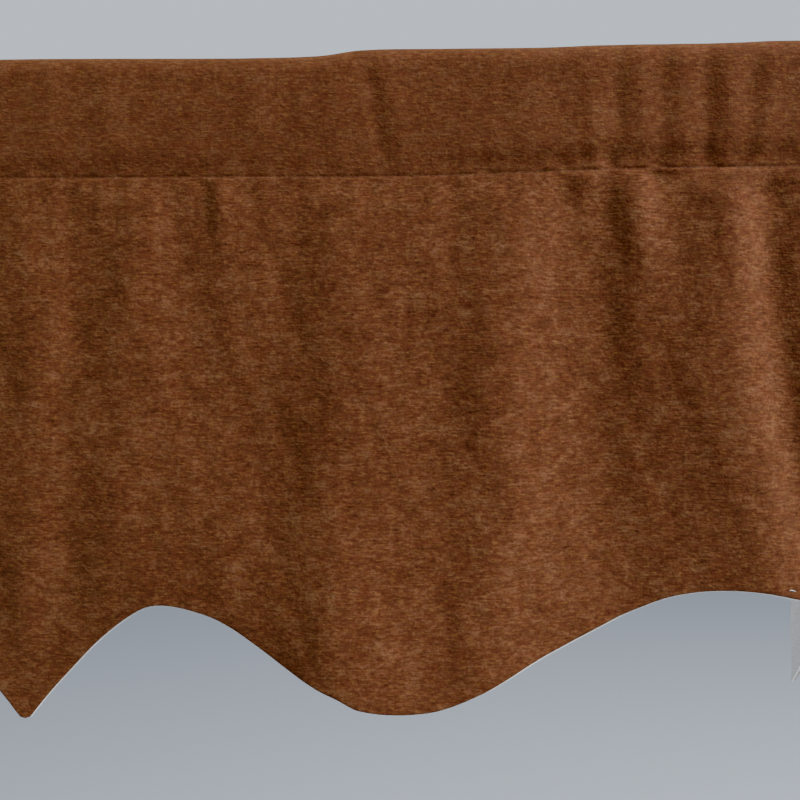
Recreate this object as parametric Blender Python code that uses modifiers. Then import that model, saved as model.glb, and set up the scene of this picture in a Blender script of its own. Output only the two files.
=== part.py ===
"""Lined window valance: a face panel with a shaped hem, its lining and the sleeve that its rod goes into.

Metres, +Z up. The origin is the middle of the top edge. +X runs to the right along the front,
+Y goes to the wall, and the front faces -Y. The valance turns a round corner at each end of the front
and runs back to the wall.
"""
from collections import namedtuple
from math import cos, exp, pi, sin

import bmesh
import bpy
from mathutils import Vector

MM = 0.001

# Hanging line seen from above: the middle of the rod sleeve, from the front's centre to the wall
FRONT_HALF = 0.513
CORNER_RADIUS = 0.020
CORNER_ARC = CORNER_RADIUS * pi / 2
RETURN_RUN = 0.0745
HALF_LINE = FRONT_HALF + CORNER_ARC + RETURN_RUN

# Cloth
FACE_THICKNESS = 0.0018
LINING_THICKNESS = 0.0010
SLEEVE_WALL = 0.0022
PIECE_GAP = 0.0003
LINING_GAP = 0.0004
SEAM_GAP = 0.0004
LINING_SEAM_GAP = 0.0011
LINING_BELOW_HEM = 0.0012
CLOTH_ROUGHNESS = 0.95
JOIN_DISTANCE = 0.00005

# How the panel leaves the seam: its place under the sleeve, its billow, and where folds begin
SEAM_OUT = 0.0026
BILLOW = 0.0008
BILLOW_DEPTH = 0.050
FOLD_START = 0.022
LONGEST_DROP = 0.436
SEWN_HEIGHT = 0.080

# Hem of one half, the same on both sides: millimetres along the line from the centre, and below the top
HemPoint = namedtuple("HemPoint", "along drop")
HEM = (
    HemPoint(0, 439.4), HemPoint(4, 437.9), HemPoint(7, 433.8), HemPoint(13, 426.4), HemPoint(27, 410.6),
    HemPoint(53, 384.0), HemPoint(79, 365.2), HemPoint(94, 362.0), HemPoint(120, 366.4),
    HemPoint(139, 374.1), HemPoint(159, 386.4), HemPoint(179, 399.6), HemPoint(199, 411.3),
    HemPoint(212, 417.0), HemPoint(225, 423.4), HemPoint(252, 427.0), HemPoint(277, 425.0),
    HemPoint(303, 414.9), HemPoint(341, 394.0), HemPoint(380, 374.5), HemPoint(406, 362.4),
    HemPoint(431, 353.4), HemPoint(468, 349.8), HemPoint(505, 354.5), HemPoint(535, 365.7),
    HemPoint(565, 384.5), HemPoint(595, 409.5), HemPoint(619, 432.8),
)

# Rise of the top edge over the origin, and depth of the seam below it, in millimetres along the line
TopPoint = namedtuple("TopPoint", "along rise")
TOP_EDGE = (
    TopPoint(-619, 0.2), TopPoint(-500, 1.0), TopPoint(-390, -0.4), TopPoint(-270, 0.8),
    TopPoint(-150, -1.2), TopPoint(0, -0.5), TopPoint(120, -1.8), TopPoint(155, -2.0),
    TopPoint(198, -1.2), TopPoint(226, 2.2), TopPoint(280, 2.3), TopPoint(341, 1.9),
    TopPoint(385, 2.9), TopPoint(460, 3.1), TopPoint(493, 4.0), TopPoint(619, 3.4),
)
SeamPoint = namedtuple("SeamPoint", "along below")
SEAM = (
    SeamPoint(-619, 79.0), SeamPoint(-400, 80.1), SeamPoint(-200, 79.1), SeamPoint(0, 79.5),
    SeamPoint(150, 80.1), SeamPoint(262, 80.7), SeamPoint(330, 78.9), SeamPoint(420, 76.9),
    SeamPoint(506, 76.8), SeamPoint(619, 77.1),
)

# Folds of the panel: where each runs at the seam and at the longest drop, the half widths of its left and
# its right side, and how far it stands out (+) or in (-) at the seam, half way and at the bottom, in mm
Fold = namedtuple("Fold", "top bottom left right at_seam at_middle at_bottom swing", defaults=(1,))
FOLDS = (
    Fold(6, 4, 13, 28, 0.6, 1.8, 0.8),
    Fold(36, 22, 13, 13, -1.6, -1.5, -0.5),
    Fold(80, 52, 18, 30, 3.0, 2.6, 0.3),
    Fold(102, 112, 13, 13, -2.5, 0.0, 0.0),
    Fold(133, 146, 12, 30, 2.3, 0.7, 1.0),
    Fold(182, 182, 16, 14, -1.5, 0.0, 0.0),
    Fold(217, 212, 38, 62, 1.4, 11.0, 13.0),
    Fold(292, 285, 16, 14, -2.5, 0.0, 0.0),
    Fold(322, 310, 50, 27, 3.4, 9.0, 3.0),
    Fold(372, 385, 32, 20, -3.0, -4.5, -1.0),
    Fold(404, 400, 13, 13, 2.8, 0.0, 0.0),
    Fold(430, 436, 16, 16, -4.0, 0.0, -1.0),
    Fold(395, 405, 30, 45, 0.0, -2.0, -4.0),
    Fold(454, 518, 48, 27, 5.5, 9.0, 6.0, 2),
    Fold(440, 478, 62, 40, 0.0, 0.0, 13.0),
    Fold(487, 553, 14, 14, -6.0, -5.0, -3.0, 2),
    Fold(533, 548, 18, 18, 1.0, 4.0, 5.0),
    Fold(585, 590, 26, 26, 0.0, 2.0, 1.5),
    Fold(-38, -34, 15, 15, -2.0, -3.0, -2.0),
    Fold(-82, -90, 18, 30, 3.5, 4.5, 2.5),
    Fold(-140, -142, 18, 18, -3.0, -3.5, -1.5),
    Fold(-196, -212, 20, 40, 2.0, 6.0, 8.0),
    Fold(-262, -256, 20, 20, -2.5, -4.0, -1.0),
    Fold(-312, -300, 20, 26, 3.5, 6.5, 3.0),
    Fold(-366, -374, 22, 22, -3.5, -4.5, -4.0),
    Fold(-424, -436, 22, 30, 4.5, 7.0, 5.5),
    Fold(-478, -474, 17, 17, -3.0, -3.5, -2.5),
    Fold(-530, -538, 20, 20, 1.5, 4.5, 5.0),
    Fold(-585, -590, 26, 26, 0.0, 2.0, 2.5),
)

# How far the hem leans out of the fold above it (+) or back (-), in millimetres
CurlPoint = namedtuple("CurlPoint", "along out")
HEM_CURL = (
    CurlPoint(-619, 0.0), CurlPoint(-430, -5.0), CurlPoint(-230, 6.0), CurlPoint(-60, 0.0),
    CurlPoint(0, -3.5), CurlPoint(30, -2.0), CurlPoint(60, 1.0), CurlPoint(100, 5.0),
    CurlPoint(140, 9.0), CurlPoint(185, 12.0), CurlPoint(215, 12.5), CurlPoint(262, 11.0),
    CurlPoint(300, 8.0), CurlPoint(330, 4.0), CurlPoint(360, 1.0), CurlPoint(385, -1.0),
    CurlPoint(405, -4.0), CurlPoint(440, -8.0), CurlPoint(475, -10.0), CurlPoint(510, -7.0),
    CurlPoint(560, 0.0), CurlPoint(619, 0.0),
)
CURL_HEIGHT = 0.150

# Small pleats of the sleeve: place along the line, half width, and how far it stands out, in millimetres
Pleat = namedtuple("Pleat", "along width out")
PLEATS = (
    Pleat(60, 12, 0.8), Pleat(207, 11, 0.7), Pleat(374, 8, 0.8), Pleat(390, 7, -1.0),
    Pleat(406, 8, 1.0), Pleat(432, 8, 0.8), Pleat(447, 7, -1.0), Pleat(462, 9, 1.2),
    Pleat(487, 8, 0.6), Pleat(-120, 14, 0.6), Pleat(-260, 14, -0.7), Pleat(-430, 12, 0.7),
)

# Half section of the sleeve from the fold at its top to the seam: out from the middle, and below the top
SectionPoint = namedtuple("SectionPoint", "out below")
SECTION = (
    SectionPoint(0.0, 0.0), SectionPoint(4.2, 1.6), SectionPoint(6.6, 6.5), SectionPoint(7.2, 16.0),
    SectionPoint(7.2, 40.0), SectionPoint(7.0, 61.0), SectionPoint(5.9, 70.0), SectionPoint(3.2, 80.0),
)

# Lines of points: how many steps lie in each stretch along the line, from the left wall to the right one
Stretch = namedtuple("Stretch", "to steps")
PANEL_STRETCHES = (
    Stretch(-FRONT_HALF - CORNER_ARC, 4), Stretch(-FRONT_HALF, 4), Stretch(-0.027, 36), Stretch(0.027, 8),
    Stretch(FRONT_HALF, 42), Stretch(FRONT_HALF + CORNER_ARC, 4), Stretch(HALF_LINE, 4),
)
SLEEVE_JOIN = 0.511
FRONT_SLEEVE = (Stretch(0.190, 16), Stretch(0.250, 5), Stretch(0.370, 3), Stretch(SLEEVE_JOIN, 15))
END_SLEEVE = (Stretch(FRONT_HALF, 1), Stretch(FRONT_HALF + CORNER_ARC, 5), Stretch(HALF_LINE, 2))
ROW_SHARES = (0.0, 0.025, 0.06, 0.11, 0.20, 0.32, 0.44, 0.56, 0.67, 0.78, 0.89, 1.0)

FACE_COLOUR = (0.130, 0.041, 0.013, 1.0)
LINING_COLOUR = (0.72, 0.69, 0.63, 1.0)


def clear_scene():
    for found in list(bpy.data.objects):
        bpy.data.objects.remove(found, do_unlink=True)


def plan(along):
    """Point of the hanging line seen from above, and its outward direction."""
    side = -1.0 if along < 0 else 1.0
    run = abs(along)
    turn = min(max(run - FRONT_HALF, 0.0), CORNER_ARC) / CORNER_RADIUS
    back = max(run - FRONT_HALF - CORNER_ARC, 0.0)
    x = min(run, FRONT_HALF) + CORNER_RADIUS * sin(turn)
    y = CORNER_RADIUS * (1 - cos(turn)) + back
    return Vector((side * x, y, 0.0)), Vector((side * sin(turn), -cos(turn), 0.0))


def slope_at(rows, place):
    """Slope of a two-column table at one of its rows, from the rows beside it."""
    before = rows[max(place - 1, 0)]
    after = rows[min(place + 1, len(rows) - 1)]
    return (after[1] - before[1]) / (after[0] - before[0])


def read_off(rows, along_mm):
    """Smooth value of a two-column table at a place along the line."""
    place = 0
    while place < len(rows) - 2 and along_mm > rows[place + 1][0]:
        place += 1
    start, end = rows[place], rows[place + 1]
    width = end[0] - start[0]
    t = min(max((along_mm - start[0]) / width, 0.0), 1.0)
    rise = slope_at(rows, place) * width
    fall = slope_at(rows, place + 1) * width
    return (start[1] * (2 * t**3 - 3 * t**2 + 1) + rise * (t**3 - 2 * t**2 + t)
            + end[1] * (3 * t**2 - 2 * t**3) + fall * (t**3 - t**2))


def top_height(along):
    return read_off(TOP_EDGE, along / MM) * MM


def seam_height(along):
    return -read_off(SEAM, along / MM) * MM


def hem_height(along):
    return -read_off(HEM, abs(along) / MM) * MM


def ease(share):
    """Soft step from 0 to 1."""
    share = min(max(share, 0.0), 1.0)
    return share * share * (3 - 2 * share)


def fold_out(along, share):
    """How far the folds stand out at a place, share being 0 at the seam and 1 at the longest drop."""
    total = 0.0
    for fold in FOLDS:
        centre = fold.top + (fold.bottom - fold.top) * share**fold.swing
        height = (fold.at_seam * (1 - share) * (1 - 2 * share) + fold.at_middle * 4 * share * (1 - share)
                  + fold.at_bottom * share * (2 * share - 1))
        from_centre = along / MM - centre
        half_width = fold.left if from_centre < 0 else fold.right
        total += height * exp(-(from_centre / half_width)**2)
    return total * MM


def panel_point(along, height):
    """Point of the face cloth's outer surface at a place along the line and a height."""
    foot, outward = plan(along)
    below_seam = seam_height(along) - height
    share = below_seam / (LONGEST_DROP - SEWN_HEIGHT)
    free = ease(below_seam / FOLD_START)
    curl = read_off(HEM_CURL, along / MM) * MM * ease(1 - (height - hem_height(along)) / CURL_HEIGHT)
    out = SEAM_OUT + free * fold_out(along, share) + curl + BILLOW * ease(below_seam / BILLOW_DEPTH)
    return foot + outward * out + Vector((0.0, 0.0, height))


def stretch_stations(start, stretches):
    """Places along the line, in steps that each stretch divides evenly."""
    stations = [start]
    for stretch in stretches:
        begin = stations[-1]
        stations += [begin + (stretch.to - begin) * step / stretch.steps
                     for step in range(1, stretch.steps + 1)]
    return stations


def make_material(name, colour):
    material = bpy.data.materials.new(name)
    material.use_nodes = True
    shader = material.node_tree.nodes["Principled BSDF"]
    shader.inputs["Base Color"].default_value = colour
    shader.inputs["Roughness"].default_value = CLOTH_ROUGHNESS
    shader.inputs["Metallic"].default_value = 0.0
    return material


def shaped_grid(name, collection, columns, rows, place, closed=False):
    """Grid of columns by rows of points, each put where place(column, row) says; closed joins its rows."""
    shape = bmesh.new()
    bmesh.ops.create_grid(shape, x_segments=columns - 1, y_segments=rows - 1, size=1.0)
    for point in shape.verts:
        column = round((point.co.x + 1) / 2 * (columns - 1))
        row = round((point.co.y + 1) / 2 * (rows - 1))
        point.co = place(column, row)
    if closed:
        bmesh.ops.remove_doubles(shape, verts=shape.verts, dist=JOIN_DISTANCE)
    mesh = bpy.data.meshes.new(name)
    shape.to_mesh(mesh)
    shape.free()
    mesh.shade_smooth()
    piece = bpy.data.objects.new(name, mesh)
    collection.objects.link(piece)
    return piece


def thicken(piece, thickness):
    """Give an open sheet its thickness, to the inner side."""
    solidify = piece.modifiers.new("thickness", 'SOLIDIFY')
    solidify.thickness = thickness
    solidify.offset = -1.0
    solidify.use_even_offset = True


def hanging_sheet(name, collection, seam_gap, hem_extra):
    """Open sheet from under the seam to the hem, with one more row below it where the sheet is longer."""
    stations = stretch_stations(-HALF_LINE, PANEL_STRETCHES)
    shares = list(reversed(ROW_SHARES))
    extra_rows = 1 if hem_extra else 0

    def place(column, row):
        along = stations[column]
        top = seam_height(along) - seam_gap
        hem = hem_height(along)
        if row < extra_rows:
            return panel_point(along, hem - hem_extra)
        return panel_point(along, top + (hem - top) * shares[row - extra_rows])

    return shaped_grid(name, collection, len(stations), len(shares) + extra_rows, place)


def face_panel(collection):
    """Front cloth below the seam, from wall to wall round both corners."""
    piece = hanging_sheet("face_panel", collection, SEAM_GAP, 0.0)
    thicken(piece, FACE_THICKNESS)
    return piece


def lining_panel(collection):
    """Lining on the same folds behind the face cloth, a little longer at the hem."""
    piece = hanging_sheet("lining_panel", collection, LINING_SEAM_GAP, LINING_BELOW_HEM)
    behind = piece.modifiers.new("behind the face", 'DISPLACE')
    behind.mid_level = 0.0
    behind.strength = -(FACE_THICKNESS + LINING_GAP)
    thicken(piece, LINING_THICKNESS)
    return piece


def pleat_out(along):
    return sum(pleat.out * exp(-((along / MM - pleat.along) / pleat.width)**2) for pleat in PLEATS) * MM


def sleeve_ring():
    """Whole section, up the front, over the top and down the back, then closed at the seam."""
    front = [(point.out * MM, point.below * MM) for point in reversed(SECTION)]
    back = [(-point.out * MM, point.below * MM) for point in SECTION[1:]]
    return front + back + front[:1]


def sleeve_point(along, out, below):
    foot, outward = plan(along)
    top, seam = top_height(along), seam_height(along)
    height = top + (seam - top) * below / SEWN_HEIGHT
    on_wall = sin(pi * below / SEWN_HEIGHT)
    pleat = pleat_out(along) * on_wall if out > 0 else 0.0
    return foot + outward * (out + pleat) + Vector((0.0, 0.0, height))


def sleeve(name, collection, stations):
    """One stretch of the sleeve, open at both ends."""
    ring = sleeve_ring()

    def place(column, row):
        return sleeve_point(stations[column], *ring[row])

    piece = shaped_grid(name, collection, len(stations), len(ring), place, closed=True)
    thicken(piece, SLEEVE_WALL)
    return piece


def sleeves(collection):
    """Front stretch of the sleeve, and one at each end that turns the corner and runs to the wall."""
    right = stretch_stations(SLEEVE_JOIN + PIECE_GAP, END_SLEEVE)
    left = [-along for along in reversed(right)]
    return [
        sleeve("rod_pocket_front", collection, stretch_stations(-SLEEVE_JOIN, FRONT_SLEEVE)),
        sleeve("rod_pocket_right", collection, right),
        sleeve("rod_pocket_left", collection, left),
    ]


def main():
    clear_scene()
    collection = bpy.data.collections.new("window_valance")
    bpy.context.scene.collection.children.link(collection)
    face = make_material("face_cloth", FACE_COLOUR)
    pocket = make_material("pocket_cloth", FACE_COLOUR)
    lining = make_material("lining_cloth", LINING_COLOUR)
    face_panel(collection).data.materials.append(face)
    lining_panel(collection).data.materials.append(lining)
    for piece in sleeves(collection):
        piece.data.materials.append(pocket)


main()
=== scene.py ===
# %% [markdown]
# # A lined valance of rust-brown chenille
#
# The real thing is one length of chenille and one of pale lining, sewn together round the shaped hem and
# turned right side out. The top is turned over to the back and stitched down, which leaves a flat sleeve
# for a curtain rod. The imported model gives the frame: where the sleeve, the panel and the lining hang.
# This script dresses it with thin sheets that have the cloth's small folds, with the sewing, and with
# the look of each cloth.

# %% Load the frame
from collections import namedtuple
from math import pi, radians

import bpy
import numpy as np
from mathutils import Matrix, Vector


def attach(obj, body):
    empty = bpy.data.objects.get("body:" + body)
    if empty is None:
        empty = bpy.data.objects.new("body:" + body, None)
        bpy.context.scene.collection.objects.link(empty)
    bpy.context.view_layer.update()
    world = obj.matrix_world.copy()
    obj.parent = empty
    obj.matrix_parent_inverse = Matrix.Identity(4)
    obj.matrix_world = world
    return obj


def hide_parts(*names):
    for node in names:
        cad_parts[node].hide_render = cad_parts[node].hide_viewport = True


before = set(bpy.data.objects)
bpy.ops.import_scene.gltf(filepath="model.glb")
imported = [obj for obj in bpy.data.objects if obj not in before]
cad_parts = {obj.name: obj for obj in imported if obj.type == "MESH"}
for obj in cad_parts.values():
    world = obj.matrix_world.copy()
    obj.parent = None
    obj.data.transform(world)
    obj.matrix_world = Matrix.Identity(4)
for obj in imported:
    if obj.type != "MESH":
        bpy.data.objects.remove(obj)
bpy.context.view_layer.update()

# %% [markdown]
# ## Camera and colours
#
# The camera stands about two thirds of a metre in front of the cloth, level with its middle, and looks
# almost square on. A long lens from far away would flatten the returns, so the real distance is kept.
# Colours are written as they look on a screen, and one function turns them into light.

# %% Camera
MM = 0.001
CAMERA_PLACE = (0.2816, -0.6872, -0.2271)
CAMERA_TURN = radians(2.6)
LENS_MM = 47.25

camera_data = bpy.data.cameras.new("camera")
camera_data.lens = LENS_MM
camera_data.sensor_width = 36.0
camera_data.clip_start = 0.01
camera = bpy.data.objects.new("camera", camera_data)
camera.location = CAMERA_PLACE
camera.rotation_euler = (pi / 2, 0.0, CAMERA_TURN)
bpy.context.scene.collection.objects.link(camera)
bpy.context.scene.camera = camera
bpy.context.scene.view_settings.view_transform = "AgX"
bpy.context.scene.view_settings.look = "AgX - Punchy"
print("camera at", CAMERA_PLACE)


# %% Colour and node helpers
def light_of(hex_colour):
    """Linear colour of an sRGB hex value."""
    shares = [int(hex_colour[place:place + 2], 16) / 255 for place in (1, 3, 5)]
    linear = [s / 12.92 if s <= 0.04045 else ((s + 0.055) / 1.055) ** 2.4 for s in shares]
    return (*linear, 1.0)


def add_node(owner, kind, settings=None, values=None, links=None):
    """Add one node to a material or world, with settings, values and the sockets that feed it."""
    node = owner.node_tree.nodes.new(kind)
    for name, value in (settings or {}).items():
        setattr(node, name, value)
    for socket, value in (values or {}).items():
        node.inputs[socket].default_value = value
    for socket, source in (links or {}).items():
        owner.node_tree.links.new(source, node.inputs[socket])
    return node


def new_material(name):
    material = bpy.data.materials.new(name)
    material.use_nodes = True
    return material, material.node_tree.nodes["Principled BSDF"]


# %% [markdown]
# ## The hanging line and the tables of the cloth
#
# Seen from above, the valance follows the rod: straight along the front, round a corner of 20 mm at each
# end, and back to the wall. Every sheet is worked out from that line. Short tables say how the hem, the
# top edge and the seam rise and fall along it, and where each fold runs. They are the sizes of the packed
# solids, read here in the same way, so the thin sheets lie on the same folds.

# %% Sizes
FRONT_HALF = 0.513
CORNER_RADIUS = 0.020
CORNER_ARC = CORNER_RADIUS * pi / 2
RETURN_RUN = 0.0745
HALF_LINE = FRONT_HALF + CORNER_ARC + RETURN_RUN

SLEEVE_HALF_DEPTH = 7.2 * MM
SEWN_HEIGHT = 0.080
SEAM_OUT = 1.8 * MM
BILLOW = 2.0 * MM
BILLOW_DEPTH = 0.050
FOLD_START = 0.022
LONGEST_DROP = 0.436

FACE_THICKNESS = 1.5 * MM
LINING_THICKNESS = 0.7 * MM
LINING_BEHIND = 2.3 * MM

# Millimetres along the line from the centre, and millimetres below the top
HemPoint = namedtuple("HemPoint", "along drop")
HEM = (
    HemPoint(0, 439.4), HemPoint(4, 437.9), HemPoint(7, 433.8), HemPoint(13, 426.4), HemPoint(27, 410.6),
    HemPoint(53, 384.0), HemPoint(79, 365.2), HemPoint(94, 362.0), HemPoint(120, 366.4),
    HemPoint(139, 374.1), HemPoint(159, 386.4), HemPoint(179, 399.6), HemPoint(199, 411.3),
    HemPoint(212, 417.0), HemPoint(225, 423.4), HemPoint(252, 427.0), HemPoint(277, 425.0),
    HemPoint(303, 414.9), HemPoint(341, 394.0), HemPoint(380, 374.5), HemPoint(406, 362.4),
    HemPoint(431, 353.4), HemPoint(468, 349.8), HemPoint(505, 354.5), HemPoint(535, 365.7),
    HemPoint(565, 384.5), HemPoint(595, 409.5), HemPoint(619, 432.8),
)

TopPoint = namedtuple("TopPoint", "along rise")
TOP_EDGE = (
    TopPoint(-619, 0.2), TopPoint(-500, 1.0), TopPoint(-390, -0.4), TopPoint(-270, 0.8),
    TopPoint(-150, -1.2), TopPoint(0, -0.5), TopPoint(120, -1.8), TopPoint(155, -2.0),
    TopPoint(198, -1.2), TopPoint(226, 2.2), TopPoint(280, 2.3), TopPoint(341, 1.9),
    TopPoint(385, 2.9), TopPoint(460, 3.1), TopPoint(493, 4.0), TopPoint(619, 3.4),
)
SeamPoint = namedtuple("SeamPoint", "along below")
SEAM = (
    SeamPoint(-619, 79.0), SeamPoint(-400, 80.1), SeamPoint(-200, 79.1), SeamPoint(0, 79.5),
    SeamPoint(150, 80.1), SeamPoint(262, 80.7), SeamPoint(330, 78.9), SeamPoint(420, 76.9),
    SeamPoint(506, 76.8), SeamPoint(619, 77.1),
)

# Place of each fold at the seam and at the longest drop, the half width of its left and its right side,
# and how far it stands out (+) or in (-) at the seam, half way down and at the bottom, in millimetres.
# A swing of 1 makes the fold's path straight; a swing of 2 keeps it upright at first and then bends it.
Fold = namedtuple("Fold", "top bottom left right at_seam at_middle at_bottom swing", defaults=(1,))
FOLDS = (
    Fold(6, 4, 13, 28, 0.6, 1.8, 0.8),
    Fold(36, 22, 13, 13, -1.6, -1.5, -0.5),
    Fold(80, 52, 18, 30, 3.0, 2.6, 0.3),
    Fold(102, 112, 13, 13, -2.5, 0.0, 0.0),
    Fold(133, 146, 12, 30, 2.3, 0.7, 1.0),
    Fold(182, 182, 16, 14, -1.5, 0.0, 0.0),
    Fold(217, 212, 38, 62, 1.4, 11.0, 13.0),
    Fold(292, 285, 16, 14, -2.5, 0.0, 0.0),
    Fold(322, 310, 50, 27, 3.4, 9.0, 3.0),
    Fold(372, 385, 32, 20, -3.0, -4.5, -1.0),
    Fold(404, 400, 13, 13, 2.8, 0.0, 0.0),
    Fold(430, 436, 16, 16, -4.0, 0.0, -1.0),
    Fold(395, 405, 30, 45, 0.0, -2.0, -4.0),
    Fold(454, 518, 48, 27, 5.5, 9.0, 6.0, 2),
    Fold(440, 478, 62, 40, 0.0, 0.0, 13.0),
    Fold(487, 553, 14, 14, -6.0, -5.0, -3.0, 2),
    Fold(533, 548, 18, 18, 1.0, 4.0, 5.0),
    Fold(585, 590, 26, 26, 0.0, 2.0, 1.5),
    Fold(-38, -34, 15, 15, -2.0, -3.0, -2.0),
    Fold(-82, -90, 18, 30, 3.5, 4.5, 2.5),
    Fold(-140, -142, 18, 18, -3.0, -3.5, -1.5),
    Fold(-196, -212, 20, 40, 2.0, 6.0, 8.0),
    Fold(-262, -256, 20, 20, -2.5, -4.0, -1.0),
    Fold(-312, -300, 20, 26, 3.5, 6.5, 3.0),
    Fold(-366, -374, 22, 22, -3.5, -4.5, -4.0),
    Fold(-424, -436, 22, 30, 4.5, 7.0, 5.5),
    Fold(-478, -474, 17, 17, -3.0, -3.5, -2.5),
    Fold(-530, -538, 20, 20, 1.5, 4.5, 5.0),
    Fold(-585, -590, 26, 26, 0.0, 2.0, 2.5),
)
# How far the hem leans out of the fold above it (+) or back (-), in millimetres
CurlPoint = namedtuple("CurlPoint", "along out")
HEM_CURL = (
    CurlPoint(-619, 0.0), CurlPoint(-430, -5.0), CurlPoint(-230, 6.0), CurlPoint(-60, 0.0),
    CurlPoint(0, -3.5), CurlPoint(30, -2.0), CurlPoint(60, 1.0), CurlPoint(100, 5.0),
    CurlPoint(140, 9.0), CurlPoint(185, 12.0), CurlPoint(215, 12.5), CurlPoint(262, 11.0),
    CurlPoint(300, 8.0), CurlPoint(330, 4.0), CurlPoint(360, 1.0), CurlPoint(385, -1.0),
    CurlPoint(405, -4.0), CurlPoint(440, -8.0), CurlPoint(475, -10.0), CurlPoint(510, -7.0),
    CurlPoint(560, 0.0), CurlPoint(619, 0.0),
)
CURL_HEIGHT = 0.150
# How sharply the cloth tucks in above the seam and billows below it
TuckPoint = namedtuple("TuckPoint", "along amount")
TUCK = (
    TuckPoint(-619, 0.6), TuckPoint(-450, 1.1), TuckPoint(-250, 0.4), TuckPoint(-60, 0.7),
    TuckPoint(80, 0.7), TuckPoint(150, 0.4), TuckPoint(275, 0.3), TuckPoint(312, 1.5),
    TuckPoint(360, 1.8), TuckPoint(420, 1.7), TuckPoint(520, 1.5), TuckPoint(619, 0.8),
)
print("cut width", round(2 * (HALF_LINE + SLEEVE_HALF_DEPTH * pi / 2), 3), "m")


# %% Read the tables
def plan(along):
    """Place on the hanging line seen from above, and the direction that points out of the front."""
    side = np.where(along < 0, -1.0, 1.0)
    run = np.abs(along)
    turn = np.clip(run - FRONT_HALF, 0.0, CORNER_ARC) / CORNER_RADIUS
    back = np.clip(run - FRONT_HALF - CORNER_ARC, 0.0, None)
    x = side * (np.minimum(run, FRONT_HALF) + CORNER_RADIUS * np.sin(turn))
    y = CORNER_RADIUS * (1 - np.cos(turn)) + back
    return x, y, side * np.sin(turn), -np.cos(turn)


def read_off(rows, along_mm):
    """Smooth values of a two-column table at places along the line."""
    at = np.array([row[0] for row in rows], float)
    value = np.array([row[1] for row in rows], float)
    padded_at = np.concatenate((at[:1], at, at[-1:]))
    padded_value = np.concatenate((value[:1], value, value[-1:]))
    slope = (padded_value[2:] - padded_value[:-2]) / (padded_at[2:] - padded_at[:-2])
    place = np.clip(np.searchsorted(at, along_mm, side="right") - 1, 0, len(at) - 2)
    width = at[place + 1] - at[place]
    t = np.clip((along_mm - at[place]) / width, 0.0, 1.0)
    return (value[place] * (2 * t**3 - 3 * t**2 + 1) + slope[place] * width * (t**3 - 2 * t**2 + t)
            + value[place + 1] * (3 * t**2 - 2 * t**3) + slope[place + 1] * width * (t**3 - t**2))


def ease(share):
    """Soft step from 0 to 1."""
    share = np.clip(share, 0.0, 1.0)
    return share * share * (3 - 2 * share)


def top_height(along):
    return read_off(TOP_EDGE, along / MM) * MM


def seam_height(along):
    return -read_off(SEAM, along / MM) * MM


def hem_height(along):
    return -read_off(HEM, np.abs(along) / MM) * MM


# %% [markdown]
# ## How the cloth hangs below the seam
#
# Four things push the cloth out of the plane of the rod. It billows as it leaves the stitching, it falls
# in broad folds, its hem leans out of them or back, and it is a little uneven all over, as heavy cloth is
# after folding.
# The stitching also gathers it in small puckers that fade within a few centimetres. A cloth simulation
# would find folds of its own, so the folds of this one are listed.

# %% Folds, puckers and unevenness
PUCKER_START = 4 * MM
PUCKER_FADE = 22 * MM
PUCKER_OUT = 0.55 * MM
# A stretch billows as far as its tuck is over this
BILLOW_FROM_TUCK = 0.4
# Wave lengths along the line and down the cloth, phase, and how far out, in millimetres
Ripple = namedtuple("Ripple", "length_along length_down phase out")
UNEVEN = (
    Ripple(71, 190, 0.4, 0.30), Ripple(43, -120, 2.1, 0.22), Ripple(29, 83, 4.4, 0.15),
    Ripple(118, -61, 1.3, 0.20), Ripple(19, 47, 5.2, 0.08),
)

# Place along the line, lean to the side on the way down, half width, and how far out, in millimetres
Pinch = namedtuple("Pinch", "along lean width out")
PINCHES = (
    Pinch(40, -3, 5, 1.2), Pinch(132, 2, 6, 1.6), Pinch(121, 2, 5, -1.0), Pinch(371, 0, 8, 2.4),
    Pinch(403, 2, 8, 1.2), Pinch(421, 0, 13, -2.5), Pinch(470, -8, 14, 2.5), Pinch(-66, 2, 6, 1.2),
    Pinch(-170, -2, 6, 1.4), Pinch(-290, 0, 6, 1.2), Pinch(-382, 2, 6, 1.6), Pinch(-396, 2, 5, -1.2),
)
PINCH_START = 5 * MM
PINCH_FADE = 45 * MM
GROOVE_DEPTH = 0.6 * MM
GROOVE_HALF = 1.1 * MM


def fold_out(along, share):
    """How far the folds stand out, share being 0 at the seam and 1 at the longest drop."""
    total = np.zeros_like(along)
    for fold in FOLDS:
        centre = fold.top + (fold.bottom - fold.top) * share**fold.swing
        height = (fold.at_seam * (1 - share) * (1 - 2 * share) + fold.at_middle * 4 * share * (1 - share)
                  + fold.at_bottom * share * (2 * share - 1))
        from_centre = along / MM - centre
        total += height * np.exp(-(from_centre / np.where(from_centre < 0, fold.left, fold.right))**2)
    return total * MM


def puckers(along):
    """Small irregular gathers along the seam, from -1 to 1."""
    a = along / MM
    return (np.sin(a / 2.7 + 1.5 * np.sin(a / 31)) * 0.5 + np.sin(a / 4.3 + 2.0 + np.sin(a / 47)) * 0.5)


def groove(from_seam):
    """Depth of the line that the thread pulls in, for a distance from the seam."""
    return GROOVE_DEPTH * np.exp(-(from_seam / GROOVE_HALF)**2)


def pinch_out(along, below_seam):
    """Short creases that the stitching pulls into the panel; they die out below the seam."""
    total = np.zeros_like(along)
    for pinch in PINCHES:
        centre = pinch.along + pinch.lean * below_seam / PINCH_FADE
        total += pinch.out * np.exp(-((along / MM - centre) / pinch.width)**2)
    return total * MM * ease(below_seam / PINCH_START) * np.exp(-(below_seam / PINCH_FADE)**2)


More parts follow.
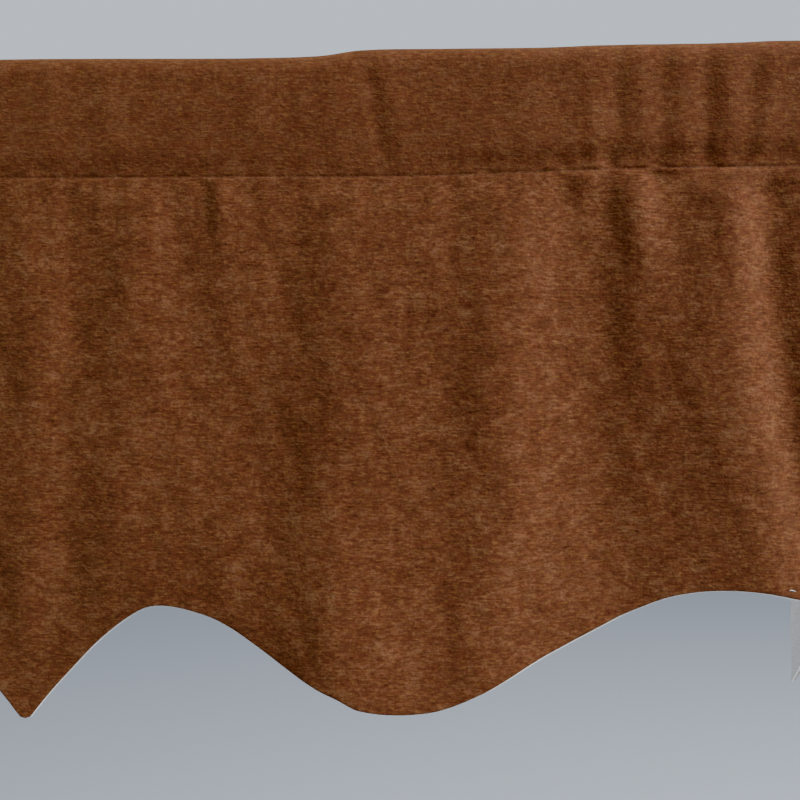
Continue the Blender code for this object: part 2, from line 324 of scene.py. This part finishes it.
def uneven(along, height):
    """Small waves of cloth that has been folded and hung again."""
    total = np.zeros_like(along)
    for ripple in UNEVEN:
        wave = along / (ripple.length_along * MM) + height / (ripple.length_down * MM)
        total += ripple.out * np.sin(2 * pi * wave + ripple.phase)
    return total * MM


def panel_out(along, height):
    """How far the face cloth's outer side stands out from the hanging line below the seam."""
    below_seam = np.maximum(seam_height(along) - height, 0.0)
    share = below_seam / (LONGEST_DROP - SEWN_HEIGHT)
    free = ease(below_seam / FOLD_START)
    gathered = ease(below_seam / PUCKER_START) * np.exp(-below_seam / PUCKER_FADE)
    curl = read_off(HEM_CURL, along / MM) * MM * ease(1 - (height - hem_height(along)) / CURL_HEIGHT)
    billow_share = np.clip(read_off(TUCK, along / MM) - BILLOW_FROM_TUCK, 0.0, 1.0)
    billow = BILLOW * billow_share * ease(below_seam / BILLOW_DEPTH)
    return (SEAM_OUT + free * (fold_out(along, share) + uneven(along, height)) + curl
            + pinch_out(along, below_seam) - groove(below_seam)
            + billow + PUCKER_OUT * gathered * puckers(along))


# %% [markdown]
# ## The sleeve for the rod
#
# The rod that fills the sleeve is flat and wide, so the cloth lies flat over it, turns over its top in a
# tight curve and tucks in below it to the stitching. How sharply it tucks in changes along the front:
# where the cloth is pulled straight there is hardly a shadow over the seam.

# %% Section of the sleeve
TOP_CURVE = 12 * MM
ROD_MIDDLE = 34 * MM
ROD_BOTTOM = 64 * MM
BACK_SEAM_OUT = SEAM_OUT - 4.9 * MM
BACK_DRAWN_FROM = 58 * MM
# The sleeve's front leans out at its top by this much, and by a least share where the cloth is slack
SLEEVE_LEAN = 4.2 * MM
LEAST_LEAN = 0.4
# The puckers over the seam: how far out, how high they reach and how near the seam they start
SLEEVE_PUCKER_OUT = 1.3 * PUCKER_OUT
SLEEVE_PUCKER_FADE = 7 * MM
SLEEVE_PUCKER_START = 3 * MM
# Place along the line, lean from the top to the seam, half width, and how far out, in millimetres
Pleat = namedtuple("Pleat", "along lean width out")
PLEATS = (
    Pleat(18, 1, 9, 0.6), Pleat(60, 2, 12, 0.9), Pleat(157, 2, 8, 0.6), Pleat(188, 2, 8, 0.4),
    Pleat(207, 3, 11, 0.7), Pleat(234, 8, 5, -1.2), Pleat(247, 8, 8, 0.8), Pleat(331, 3, 10, 0.8),
    Pleat(374, 2, 7, 0.9), Pleat(390, 1, 5, -1.2), Pleat(406, 1, 7, 1.2), Pleat(419, 0, 5, -0.6),
    Pleat(432, 0, 7, 1.0), Pleat(447, 0, 5, -1.3), Pleat(462, 1, 7, 1.5), Pleat(476, 0, 5, -0.5),
    Pleat(487, 0, 6, 0.7), Pleat(-118, 5, 12, 0.6), Pleat(-132, 4, 7, -0.5), Pleat(-262, -4, 9, -0.7),
    Pleat(-300, 3, 8, 0.5), Pleat(-431, 4, 8, 0.8), Pleat(-446, 2, 6, -0.8),
)
# A low power keeps the pleats even over the sleeve's height and ends them sharply
PLEAT_EVENNESS = 0.6
# Dimples just above the seam, where the stitching gathers the cloth: place, half sizes and depth in mm
Dimple = namedtuple("Dimple", "along above_seam across up depth")
DIMPLES = (
    Dimple(346, 8, 9, 6, 1.3), Dimple(369, 7, 6, 6, 2.1), Dimple(383, 9, 6, 7, 2.4),
    Dimple(405, 9, 8, 6, 2.2), Dimple(426, 9, 8, 6, 1.5), Dimple(448, 9, 8, 6, 2.0),
    Dimple(463, 12, 5, 6, 1.8), Dimple(473, 12, 5, 6, 1.7), Dimple(493, 10, 7, 6, 1.4),
    Dimple(-30, 7, 8, 5, 0.9), Dimple(-390, 8, 7, 6, 1.5), Dimple(-414, 8, 7, 6, 1.8),
)


def pleat_out(along, below):
    """Small pleats and dimples of the sleeve's front, none at its top edge and at the seam."""
    total = np.zeros_like(along)
    above = (SEWN_HEIGHT - below) / MM
    for dimple in DIMPLES:
        total -= dimple.depth * np.exp(-((along / MM - dimple.along) / dimple.across)**2
                                       - ((above - dimple.above_seam) / dimple.up)**2)
    for pleat in PLEATS:
        centre = pleat.along + pleat.lean * (below / SEWN_HEIGHT * 2 - 1)
        total += pleat.out * np.exp(-((along / MM - centre) / pleat.width)**2)
    return total * MM * np.sin(pi * np.clip(below / SEWN_HEIGHT, 0, 1))**PLEAT_EVENNESS


def front_out(along, below):
    """How far the sleeve's front stands out, between the curve at its top and the seam."""
    tuck = read_off(TUCK, along / MM)
    above_seam = SEWN_HEIGHT - below
    soft = ease((below - ROD_MIDDLE) / (SEWN_HEIGHT - ROD_MIDDLE))
    sharp = ease((below - ROD_BOTTOM) / (SEWN_HEIGHT - ROD_BOTTOM))
    drawn_in = soft * (1 - tuck) + sharp * tuck
    gathered = np.exp(-above_seam / SLEEVE_PUCKER_FADE) * ease(above_seam / SLEEVE_PUCKER_START)
    lean = SLEEVE_LEAN * (LEAST_LEAN + tuck) * (0.5 - below / SEWN_HEIGHT) * (1 - drawn_in)
    return (SLEEVE_HALF_DEPTH + (SEAM_OUT - SLEEVE_HALF_DEPTH) * drawn_in + lean + pleat_out(along, below)
            - groove(above_seam) + SLEEVE_PUCKER_OUT * tuck * gathered * puckers(along))


# %% [markdown]
# ## One length of face cloth
#
# The panel, the sleeve and the turned-down flap behind it are one length of cloth, so they are one sheet:
# a grid primitive with a column for each step along the line and a row for each step along the cloth. Its
# points are put in place by the functions above, a Solidify modifier gives it its thickness, and its UV
# map counts real metres of cloth, so that the weave keeps its scale round the folds.

# %% Rows and columns
PANEL, FRONT, OVER, BACK, TAIL = range(5)
# Share of the columns up to each place along the line; they are closer at the corners and the centre
ColumnShare = namedtuple("ColumnShare", "share along")
COLUMN_SHARES = (
    ColumnShare(0.0, -HALF_LINE), ColumnShare(0.04, -FRONT_HALF - CORNER_ARC),
    ColumnShare(0.07, -FRONT_HALF), ColumnShare(0.39, -0.030), ColumnShare(0.44, 0.030),
    ColumnShare(0.92, FRONT_HALF), ColumnShare(0.95, FRONT_HALF + CORNER_ARC), ColumnShare(1.0, HALF_LINE),
)
# Rows of the panel as shares of its drop, close together at the hem and at the seam
HEM_ROWS = (0.0, 0.0012, 0.003, 0.006, 0.010, 0.017, 0.026)
SEAM_ROWS = (0.967, 0.976, 0.983, 0.989, 0.993, 0.9955, 0.9972, 0.9987, 1.0)
LAST_BODY_ROW = 0.955


def column_places(count):
    shares = [point.share for point in COLUMN_SHARES]
    return np.interp(np.linspace(0, 1, count), shares, [point.along for point in COLUMN_SHARES])


def panel_rows(count):
    """Shares of the drop from the hem up to the seam; count sets how many lie between the two ends."""
    body = np.linspace(HEM_ROWS[-1], LAST_BODY_ROW, count)[1:]
    return np.concatenate((HEM_ROWS, body, SEAM_ROWS))


def points_of(mesh):
    """The mesh's points as rows of x, y and z."""
    points = np.empty(len(mesh.vertices) * 3)
    mesh.vertices.foreach_get("co", points)
    return points.reshape(-1, 3)


def on_line(along, out, height):
    """Places that lie along the hanging line, out of its front and at a height."""
    x, y, out_x, out_y = plan(along)
    return np.column_stack((x + out_x * out, y + out_y * out, height))


def make_sheet(name, alongs, rows, place, thickness):
    """A grid whose points and UV place() gives for each column and row, thickened to its inner side."""
    bpy.ops.object.select_all(action="DESELECT")
    bpy.ops.mesh.primitive_grid_add(x_subdivisions=len(alongs) - 1, y_subdivisions=len(rows) - 1, size=2)
    sheet = bpy.context.active_object
    sheet.name = name
    mesh = sheet.data
    mesh.name = name
    points = points_of(mesh)
    column = np.rint((points[:, 0] + 1) / 2 * (len(alongs) - 1)).astype(int)
    row = np.rint((points[:, 1] + 1) / 2 * (len(rows) - 1)).astype(int)
    placed, cloth_uv = place(alongs[column], rows[row])
    mesh.vertices.foreach_set("co", placed.ravel())
    corner = np.empty(len(mesh.loops), int)
    mesh.loops.foreach_get("vertex_index", corner)
    layer = mesh.uv_layers.active or mesh.uv_layers.new()
    layer.name = "cloth"
    layer.data.foreach_set("uv", cloth_uv[corner].ravel())
    mesh.update()
    solid = sheet.modifiers.new("thickness", "SOLIDIFY")
    solid.thickness = thickness
    solid.offset = -1.0
    bpy.ops.object.modifier_apply(modifier=solid.name)
    bpy.ops.object.shade_smooth_by_angle(angle=radians(50))
    return sheet


# %% Face cloth
FACE_COLUMNS = 372
FACE_PANEL_ROWS = 70
EDGE_ROLL = 0.6 * MM
EDGE_ROLL_HEIGHT = 1.6 * MM
# Rows over the seam: millimetres below the top, degrees of the curve, and millimetres below the seam
FRONT_ROWS = (79.5, 78.9, 78.2, 77.2, 75.5, 73.2, 70.5, 67, 63.5, 60, 56, 50, 43, 36, 29, 22, 16)
OVER_ROWS = np.linspace(0, 180, 13)
BACK_ROWS = (20, 30, 42, 54, 61, 66, 71, 75, 78, 80)
TAIL_ROWS = (2, 4, 5.4, 6)
TAIL_GAP = 0.1 * MM
# Cloth that a quarter of the curve over the rod takes
QUARTER_CURVE = TOP_CURVE + 0.62 * SLEEVE_HALF_DEPTH

face_rows = np.array([(stretch, step) for stretch, steps in (
    (PANEL, panel_rows(FACE_PANEL_ROWS)), (FRONT, FRONT_ROWS), (OVER, OVER_ROWS), (BACK, BACK_ROWS),
    (TAIL, TAIL_ROWS)) for step in steps])


def sleeve_height(along, below):
    top, seam = top_height(along), seam_height(along)
    return top + (seam - top) * below / SEWN_HEIGHT


def face_place(along, row):
    """Place and cloth coordinates of the face cloth's outer side."""
    stretch, step = row[:, 0].astype(int), row[:, 1]
    seam, hem = seam_height(along), hem_height(along)
    up_panel = hem + (seam - hem) * step
    above_hem = up_panel - hem
    rolled = EDGE_ROLL * (1 - np.sqrt(1 - np.clip(1 - above_hem / EDGE_ROLL_HEIGHT, 0, 1)**2))
    below = np.clip(step, 0, 80) * MM
    angle = np.radians(np.clip(step, 0, 180))
    over_half = np.where(angle < pi / 2, front_out(along, TOP_CURVE + 0 * along), SLEEVE_HALF_DEPTH)
    over_out = over_half * np.cos(angle)
    over_below = TOP_CURVE * (1 - np.sin(angle))
    back_in = ease((below - BACK_DRAWN_FROM) / (SEWN_HEIGHT - BACK_DRAWN_FROM))
    back_out = -SLEEVE_HALF_DEPTH + (BACK_SEAM_OUT + SLEEVE_HALF_DEPTH) * back_in
    tail_height = seam - step * MM
    tail_out = panel_out(along, tail_height) - (SEAM_OUT - BACK_SEAM_OUT) - TAIL_GAP
    kinds = [stretch == kind for kind in (PANEL, FRONT, OVER, BACK, TAIL)]
    out = np.select(kinds, [panel_out(along, up_panel) - rolled, front_out(along, below), over_out,
                            back_out, tail_out])
    height = np.select(kinds, [up_panel, sleeve_height(along, below), sleeve_height(along, over_below),
                               sleeve_height(along, below), tail_height])
    curve_start = sleeve_height(along, TOP_CURVE)
    over_curve = curve_start + QUARTER_CURVE * angle / (pi / 2)
    down_back = curve_start + 2 * QUARTER_CURVE + (curve_start - height)
    cloth_up = np.select(kinds, [height, height, over_curve, down_back, down_back])
    return on_line(along, out, height), np.column_stack((along, cloth_up))


face_cloth = make_sheet("face_cloth", column_places(FACE_COLUMNS), face_rows, face_place, FACE_THICKNESS)
print("face cloth:", len(face_cloth.data.polygons), "faces")

# %% [markdown]
# ## The lining
#
# The lining lies behind the face cloth on the same folds. The two are sewn together at the hem and turned,
# and the lining has crept a little past the edge, most of all where the hem rises to the right, so that a
# thin pale line shows under the brown. Its own sheet makes that line real from every side.

# %% Lining
LINING_COLUMNS = 300
LINING_PANEL_ROWS = 56
LINING_BELOW_SEAM = 0.4 * MM
# Near the hem the lining keeps a little more off the face cloth, and past it comes forward under the edge
LINING_EASE = 0.25 * MM
LINING_EASE_HEIGHT = 5 * MM
PAST_HEM_BEHIND = 1.3 * MM
LAST_ROW_BEHIND = 1.8 * MM
LAST_ROW = -1.0
# Millimetres along the line, and how far the lining shows past the hem
LiningPoint = namedtuple("LiningPoint", "along past_hem")
PAST_HEM = (
    LiningPoint(-619, 0.8), LiningPoint(-520, 1.0), LiningPoint(-400, 1.2), LiningPoint(-270, 0.7),
    LiningPoint(-160, 0.8), LiningPoint(-60, 1.0), LiningPoint(-8, 0.2), LiningPoint(6, 0.1),
    LiningPoint(18, 0.3), LiningPoint(30, 0.9), LiningPoint(60, 1.1), LiningPoint(80, 0.7),
    LiningPoint(140, 0.5), LiningPoint(190, 0.4), LiningPoint(240, 0.4), LiningPoint(270, 0.7),
    LiningPoint(330, 1.2), LiningPoint(400, 1.1), LiningPoint(450, 0.6), LiningPoint(485, 0.6),
    LiningPoint(500, 1.3), LiningPoint(560, 1.0), LiningPoint(619, 0.8),
)
lining_rows = np.concatenate(((LAST_ROW, -0.6, -0.25), panel_rows(LINING_PANEL_ROWS)[:-1]))


def lining_place(along, row):
    """Place and cloth coordinates of the lining's outer side; rows under 0 are past the hem."""
    seam, hem = seam_height(along) - LINING_BELOW_SEAM, hem_height(along)
    past = read_off(PAST_HEM, along / MM) * MM
    height = np.where(row < 0, hem + past * row, hem + (seam - hem) * row)
    behind = LINING_BEHIND + LINING_EASE * np.exp(-np.maximum(height - hem, 0) / LINING_EASE_HEIGHT)
    behind = np.where(row < 0, PAST_HEM_BEHIND, behind)
    behind = np.where(row == LAST_ROW, LAST_ROW_BEHIND, behind)
    out = panel_out(along, np.maximum(height, hem)) - behind
    return on_line(along, out, height), np.column_stack((along, height))


lining = make_sheet("lining", column_places(LINING_COLUMNS), lining_rows, lining_place, LINING_THICKNESS)
print("lining:", len(lining.data.polygons), "faces")

# %% [markdown]
# ## The row of stitches
#
# One line of lockstitch closes the sleeve. Each stitch is a short plump thread, and on the front it dips
# into the cloth at both ends. One is modelled, an Array modifier repeats it along a straight line, and
# that line is then laid along the seam, once on the front and once on the back.

# %% Stitches and their row
STITCH_PITCH = 3.2 * MM
STITCH_LENGTH = 2.7 * MM
STITCH_WIDTH = 0.5 * MM
STITCH_SINK = 0.05 * MM
END_MARGIN = 2 * MM
# Slope with which a stitch dips towards its ends, and the most and the change of its tilt along the row
STITCH_DIP = 0.12
STITCH_TILT = 0.12
TILT_CHANGE = 2.4


def short_thread(name, width, length, segments, rings):
    """A plump short thread: a sphere drawn out along X."""
    bpy.ops.object.select_all(action="DESELECT")
    bpy.ops.mesh.primitive_uv_sphere_add(segments=segments, ring_count=rings, radius=0.5,
                                         rotation=(0, pi / 2, 0))
    piece = bpy.context.active_object
    piece.name = piece.data.name = name
    piece.scale = (width, width, length)
    bpy.ops.object.transform_apply(location=True, rotation=True, scale=True)
    return piece


def stitch_row(name, out_at_seam):
    """A row of stitches from wall to wall along the seam."""
    count = int(2 * (HALF_LINE - END_MARGIN) / STITCH_PITCH)
    row = short_thread(name, STITCH_WIDTH, STITCH_LENGTH, segments=8, rings=6)
    repeat = row.modifiers.new("repeat", "ARRAY")
    repeat.use_relative_offset = False
    repeat.use_constant_offset = True
    repeat.constant_offset_displace = (STITCH_PITCH, 0, 0)
    repeat.count = count
    bpy.ops.object.modifier_apply(modifier=repeat.name)
    points = points_of(row.data)
    number = np.rint(points[:, 0] / STITCH_PITCH)
    centre = (number - (count - 1) / 2) * STITCH_PITCH
    within = points[:, 0] - number * STITCH_PITCH
    along = centre + within
    tilt = STITCH_TILT * np.sin(number * TILT_CHANGE) * within
    out = out_at_seam - points[:, 1] - STITCH_DIP * np.abs(within)
    height = seam_height(along) + points[:, 2] + tilt
    row.data.vertices.foreach_set("co", on_line(along, out, height).ravel())
    row.data.update()
    bpy.ops.object.shade_smooth()
    return row


front_stitches = stitch_row("front_stitches", SEAM_OUT - GROOVE_DEPTH - STITCH_SINK)
back_stitches = stitch_row("back_stitches", BACK_SEAM_OUT + STITCH_SINK)
print("stitches:", len(front_stitches.data.polygons) + len(back_stitches.data.polygons), "faces")

# %% [markdown]
# ## A loose end of thread
#
# At the right end of the front a short end of white thread, most likely from sewing in the lining, lies
# on the pile just over the hem. It is the same plump thread as a stitch, but longer and bowed a little.

# %% Loose end
END_ALONG = 501.8 * MM
END_ABOVE_HEM = 4.9 * MM
END_LENGTH = 4.6 * MM
END_WIDTH = 0.6 * MM
END_STANDS_OUT = 0.09 * MM
# Slope against the hem's own, and how fast the slope changes in each metre
END_TILT = -0.04
END_BOW = 60.0

loose_end = short_thread("loose_end", END_WIDTH, END_LENGTH, segments=12, rings=16)
points = points_of(loose_end.data)
along = END_ALONG + points[:, 0]
bent = END_TILT * points[:, 0] + END_BOW * points[:, 0]**2
height = hem_height(along) + END_ABOVE_HEM + points[:, 2] - bent
out = panel_out(along, height) + END_STANDS_OUT - points[:, 1]
loose_end.data.vertices.foreach_set("co", on_line(along, out, height).ravel())
loose_end.data.update()
bpy.ops.object.shade_smooth()
print("loose end:", len(loose_end.data.polygons), "faces")

# %% [markdown]
# ## Chenille
#
# Chenille yarn is a thin core with a short cut pile all round it. Woven as weft and then brushed, it lies
# in soft horizontal ribs that break into short light and dark dashes, with finer gold-brown threads
# between them. Handling crushes the pile in patches, which look lighter or darker. Each layer below is
# one of these, stretched to its size in millimetres on the cloth.

# %% Chenille material
# Each layer's size on the cloth in mm, its detail, and its share in how light and how high the pile is
Layer = namedtuple("Layer", "name across up detail tone height")
CHENILLE_LAYERS = (
    Layer("broad drift of the dye", 90, 70, 1.0, 0.12, 0.0),
    Layer("crushed patches", 20, 12, 1.0, 0.33, 0.25),
    Layer("small patches", 7.0, 4.6, 1.0, 0.38, 0.4),
    Layer("weft dashes", 3.8, 2.1, 1.0, 0.36, 0.65),
    Layer("pile dashes", 1.8, 1.7, 1.0, 0.30, 0.7),
    Layer("weft lines", 11.0, 1.3, 1.0, 0.25, 0.4),
    Layer("redder dye", 11, 6, 4.0, 0.0, 0.0),
    Layer("gold threads", 5.0, 1.2, 2.0, 0.0, 0.0),
    Layer("pressed pile", 4.6, 1.6, 3.0, 0.0, 0.0),
)
DARK_PILE, MID_PILE, LIGHT_PILE = "#3A190C", "#59311D", "#775135"
# Where a layer is between low and high, its colour comes in, up to its depth
Tint = namedtuple("Tint", "layer low high depth blend colour")
TINTS = (
    Tint("redder dye", 0.36, 0.64, 1.0, "MULTIPLY", (1.04, 0.88, 0.86, 1.0)),
    Tint("gold threads", 0.52, 0.76, 0.36, "MIX", light_of("#875E2D")),
    Tint("pressed pile", 0.60, 0.76, 0.8, "MIX", light_of(DARK_PILE)),
)
# How strongly the layers show on the panel, and on the sleeve, where the cloth lies flat over the rod
TONE_ON_PANEL = 1.5
TONE_ON_SLEEVE = 1.05
TONE_CHANGES_OVER = 5 * MM
BUMP_HEIGHT = 0.45 * MM
# Each layer takes its own part of the noise
NOISE_START = (3.1, 5.2)
NOISE_STEP = (6.3, 10.7)


def layer_noises(material, cloth_uv):
    """One noise for each layer of the pile, stretched to its size on the cloth."""
    noises = {}
    for number, layer in enumerate(CHENILLE_LAYERS):
        place = (NOISE_START[0] + NOISE_STEP[0] * number, NOISE_START[1] + NOISE_STEP[1] * number, 0.0)
        size = (1 / (layer.across * MM), 1 / (layer.up * MM), 1.0)
        mapped = add_node(material, "ShaderNodeMapping", {"label": layer.name},
                          {"Location": place, "Scale": size}, {"Vector": cloth_uv})
        noise = add_node(material, "ShaderNodeTexNoise", {"noise_dimensions": "2D", "label": layer.name},
                         {"Scale": 1.0, "Detail": layer.detail, "Roughness": 0.55},
                         {"Vector": mapped.outputs["Vector"]})
        noises[layer.name] = noise.outputs["Fac"]
    return noises


def layers_together(material, noises, kind):
    """The layers added up by their share in the pile's tone or in its height."""
    total = None
    for layer in CHENILLE_LAYERS:
        weight = getattr(layer, kind)
        if weight:
            links = {0: noises[layer.name]}
            if total:
                links[2] = total.outputs[0]
            total = add_node(material, "ShaderNodeMath", {"operation": "MULTIPLY_ADD", "label": kind},
                             {1: weight, 2: 0.0}, links)
    return total.outputs[0]


def pile_lightness(material, cloth_uv, tone):
    """Lightness from 0 to 1, more varied on the panel than on the sleeve."""
    middle = 0.5 * sum(layer.tone for layer in CHENILLE_LAYERS)
    from_middle = add_node(material, "ShaderNodeMath", {"operation": "SUBTRACT"}, {1: middle}, {0: tone})
    place = add_node(material, "ShaderNodeSeparateXYZ", None, None, {"Vector": cloth_uv})
    strength = add_node(material, "ShaderNodeMapRange", None,
                        {1: -SEWN_HEIGHT - TONE_CHANGES_OVER, 2: -SEWN_HEIGHT + TONE_CHANGES_OVER,
                         3: TONE_ON_PANEL, 4: TONE_ON_SLEEVE}, {0: place.outputs["Y"]})
    lightness = add_node(material, "ShaderNodeMath", {"operation": "MULTIPLY_ADD", "use_clamp": True},
                         {2: 0.5}, {0: from_middle.outputs[0], 1: strength.outputs[0]})
    return lightness.outputs[0]


# %% Chenille's colour and surface
def pile_colour(material, noises, lightness):
    """Dark to light brown, with redder dye, gold threads and pressed pile in places."""
    ramp = add_node(material, "ShaderNodeValToRGB", None, None, {"Fac": lightness})
    ramp.color_ramp.elements[0].color = light_of(DARK_PILE)
    ramp.color_ramp.elements[1].color = light_of(LIGHT_PILE)
    ramp.color_ramp.elements.new(0.5).color = light_of(MID_PILE)
    colour = ramp.outputs["Color"]
    for tint in TINTS:
        share = add_node(material, "ShaderNodeMapRange", {"label": tint.layer},
                         {1: tint.low, 2: tint.high, 3: 0.0, 4: tint.depth}, {0: noises[tint.layer]})
        mixed = add_node(material, "ShaderNodeMix", {"data_type": "RGBA", "blend_type": tint.blend},
                         {"B": tint.colour}, {"Factor": share.outputs[0], "A": colour})
        colour = mixed.outputs["Result"]
    return colour


def chenille():
    """Rust-brown chenille: a matt pile whose tips catch light at grazing angles."""
    material, shader = new_material("rust_chenille")
    cloth_uv = add_node(material, "ShaderNodeUVMap", {"uv_map": "cloth"}).outputs["UV"]
    noises = layer_noises(material, cloth_uv)
    lightness = pile_lightness(material, cloth_uv, layers_together(material, noises, "tone"))
    bump = add_node(material, "ShaderNodeBump", None, {"Strength": 0.8, "Distance": BUMP_HEIGHT},
                    {"Height": layers_together(material, noises, "height")})
    colour = pile_colour(material, noises, lightness)
    material.node_tree.links.new(colour, shader.inputs["Base Color"])
    material.node_tree.links.new(bump.outputs["Normal"], shader.inputs["Normal"])
    shader.inputs["Roughness"].default_value = 0.95
    shader.inputs["Specular IOR Level"].default_value = 0.15
    shader.inputs["Sheen Weight"].default_value = 0.32
    shader.inputs["Sheen Roughness"].default_value = 0.5
    shader.inputs["Sheen Tint"].default_value = light_of("#CFA35C")
    return material


chenille_material = chenille()
print("chenille:", len(CHENILLE_LAYERS), "layers")

# %% [markdown]
# ## Lining cloth and thread
#
# The lining is a cotton sateen, matt and off-white, with a weave too fine to see but for a slight grain
# and faint pressed creases. The seam's thread is polyester dyed to the chenille's darker brown, so the row
# of stitches reads as a fine line. The loose end is of a white thread.


# %% Lining and thread materials
# Sizes on the cloth of the grain's slubs and of the pressed creases
SLUB_SIZE = (9 * MM, 0.8 * MM)
CREASE_SIZE = (30 * MM, 45 * MM)
CREASE_SHARE = 6.0
LINING_BUMP_HEIGHT = 0.15 * MM
TWISTS_PER_METRE = 1800.0


def sateen():
    """Cotton sateen: off-white, matt, faintly slubbed."""
    material, shader = new_material("white_sateen")
    uv = add_node(material, "ShaderNodeUVMap", {"uv_map": "cloth"})
    slub_map = add_node(material, "ShaderNodeMapping", None,
                        {"Scale": (1 / SLUB_SIZE[0], 1 / SLUB_SIZE[1], 1.0)}, {"Vector": uv.outputs["UV"]})
    slub = add_node(material, "ShaderNodeTexNoise", {"noise_dimensions": "2D"},
                    {"Scale": 1.0, "Detail": 3.0}, {"Vector": slub_map.outputs["Vector"]})
    crease_map = add_node(material, "ShaderNodeMapping", None,
                          {"Scale": (1 / CREASE_SIZE[0], 1 / CREASE_SIZE[1], 1.0)},
                          {"Vector": uv.outputs["UV"]})
    crease = add_node(material, "ShaderNodeTexNoise", {"noise_dimensions": "2D"},
                      {"Scale": 1.0, "Detail": 4.0, "Distortion": 0.6},
                      {"Vector": crease_map.outputs["Vector"]})
    ramp = add_node(material, "ShaderNodeValToRGB", None, None, {"Fac": slub.outputs["Fac"]})
    ramp.color_ramp.elements[0].position = 0.3
    ramp.color_ramp.elements[0].color = light_of("#D3CEC6")
    ramp.color_ramp.elements[1].position = 0.7
    ramp.color_ramp.elements[1].color = light_of("#E6E2DA")
    relief = add_node(material, "ShaderNodeMath", {"operation": "MULTIPLY_ADD"}, {1: CREASE_SHARE},
                      {0: crease.outputs["Fac"], 2: slub.outputs["Fac"]})
    bump = add_node(material, "ShaderNodeBump", None, {"Strength": 0.5, "Distance": LINING_BUMP_HEIGHT},
                    {"Height": relief.outputs[0]})
    material.node_tree.links.new(ramp.outputs["Color"], shader.inputs["Base Color"])
    material.node_tree.links.new(bump.outputs["Normal"], shader.inputs["Normal"])
    shader.inputs["Roughness"].default_value = 0.8
    shader.inputs["Specular IOR Level"].default_value = 0.3
    shader.inputs["Sheen Weight"].default_value = 0.15
    return material


def thread(name, dark, light):
    """Spun polyester thread between two colours, with its twist as a fine ripple."""
    material, shader = new_material(name)
    place = add_node(material, "ShaderNodeTexCoord")
    twist = add_node(material, "ShaderNodeTexNoise", None, {"Scale": TWISTS_PER_METRE, "Detail": 1.0},
                     {"Vector": place.outputs["Object"]})
    ramp = add_node(material, "ShaderNodeValToRGB", None, None, {"Fac": twist.outputs["Fac"]})
    ramp.color_ramp.elements[0].position = 0.35
    ramp.color_ramp.elements[0].color = light_of(dark)
    ramp.color_ramp.elements[1].position = 0.65
    ramp.color_ramp.elements[1].color = light_of(light)
    material.node_tree.links.new(ramp.outputs["Color"], shader.inputs["Base Color"])
    shader.inputs["Roughness"].default_value = 0.6
    return material


lining_material = sateen()
thread_material = thread("brown_thread", "#43250F", "#5C3820")
white_thread_material = thread("white_thread", "#A8A3A5", "#DAD7D8")
for piece, material in ((face_cloth, chenille_material), (lining, lining_material),
                        (front_stitches, thread_material), (back_stitches, thread_material),
                        (loose_end, white_thread_material)):
    piece.data.materials.clear()
    piece.data.materials.append(material)
    print(piece.name, "is of", material.name)

# %% [markdown]
# ## Light and floor
#
# A big soft lamp stands to the right of the camera and above it, so that the right flank of each fold is
# bright and the left one falls off. Weaker ones from the left, from below and from behind lift the
# shadows and light the edge of the lining. The room is pale behind the valance and dimmer in front of
# it, so that its own light does not flatten the folds. The floor is pale and far below.

# %% Stage
Lamp = namedtuple("Lamp", "name place aim size watts")
LAMPS = (
    Lamp("key", (3.49, -1.84, 2.98), (0.3, 0.0, -0.25), 1.3, 955.0),
    Lamp("fill", (-0.6, -2.2, 0.5), (0.1, 0.0, -0.25), 1.6, 2.0),
    Lamp("low", (0.95, -0.8, -0.85), (0.3, 0.0, -0.45), 0.5, 2.0),
    Lamp("back", (0.4, 1.6, -0.5), (0.2, 0.0, -0.3), 1.4, 14.0),
)
FLOOR_HEIGHT = -1.4
DAYLIGHT = "#F2F7FF"
FLOOR_SIZE = 14.0
WORLD_IN_FRONT = 0.25
WORLD_BEHIND = 2.0
BEHIND_FROM = 0.7

bpy.ops.object.select_all(action="DESELECT")
bpy.ops.mesh.primitive_plane_add(size=FLOOR_SIZE, location=(0, 0, FLOOR_HEIGHT))
floor = bpy.context.active_object
floor.name = "floor"
floor_material, floor_shader = new_material("pale_floor")
floor_shader.inputs["Base Color"].default_value = light_of("#C9CDD3")
floor_shader.inputs["Roughness"].default_value = 0.9
floor.data.materials.append(floor_material)

for lamp in LAMPS:
    light = bpy.data.lights.new(lamp.name, "AREA")
    light.size = lamp.size
    light.energy = lamp.watts
    light.color = light_of(DAYLIGHT)[:3]
    holder = bpy.data.objects.new(lamp.name, light)
    holder.location = lamp.place
    to_aim = Vector(lamp.aim) - Vector(lamp.place)
    holder.rotation_euler = to_aim.to_track_quat("-Z", "Y").to_euler()
    bpy.context.scene.collection.objects.link(holder)

world = bpy.data.worlds.new("soft_room")
bpy.context.scene.world = world
world.use_nodes = True
background = world.node_tree.nodes["Background"]
background.inputs["Color"].default_value = light_of("#C6CFDA")
direction = add_node(world, "ShaderNodeTexCoord")
parts = add_node(world, "ShaderNodeSeparateXYZ", None, None, {"Vector": direction.outputs["Generated"]})
strength = add_node(world, "ShaderNodeMapRange", {"interpolation_type": "SMOOTHSTEP"},
                    {1: 0.0, 2: BEHIND_FROM, 3: WORLD_IN_FRONT, 4: WORLD_BEHIND}, {0: parts.outputs["Y"]})
world.node_tree.links.new(strength.outputs[0], background.inputs["Strength"])
print("lamps:", [lamp.name for lamp in LAMPS])

# %% [markdown]
# ## Hand the pieces to the frame
#
# Every piece rides on the one body. The face cloth stands for the panel and the three stretches of the
# sleeve, and the lining for its own solid.

for piece in (face_cloth, lining, front_stitches, back_stitches, loose_end):
    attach(piece, "root")
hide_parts("face_panel", "rod_pocket_front", "rod_pocket_left", "rod_pocket_right")
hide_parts("lining_panel")
